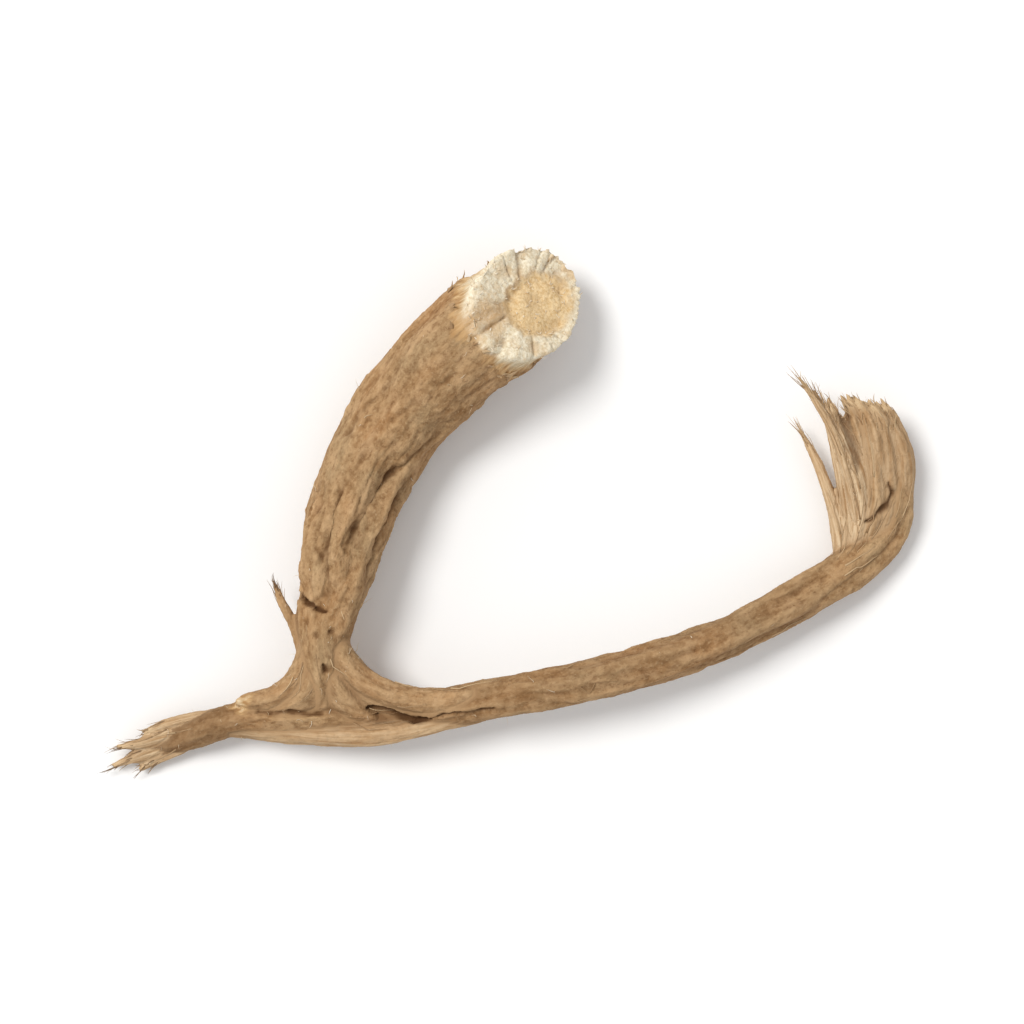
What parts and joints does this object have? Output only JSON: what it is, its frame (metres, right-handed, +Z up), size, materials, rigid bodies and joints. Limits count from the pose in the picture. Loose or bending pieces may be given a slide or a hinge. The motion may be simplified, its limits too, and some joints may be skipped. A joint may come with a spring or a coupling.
{
  "type": "marshmallow root",
  "caption": "Piece of dried marshmallow root: a wrinkled bark-covered branch with an oblique pale cut end, forking into thinner roots that run out to a ragged tip and a hooked, frayed end",
  "frame": {"origin": "middle of the bottom of the box round the piece as it lies on a surface", "axes": "+X along the thin roots from the ragged left tip to the hooked right end, +Y from the fork towards the cut end, +Z up from the surface it lies on"},
  "size_m": [0.0222, 0.0144, 0.0035],
  "materials": {
    "bark": "matte wrinkled bark, with pale fibrous wood at the cut"
  },
  "bodies": {
    "root": {"marshmallow_root": "bark"}
  },
  "joints": []
}
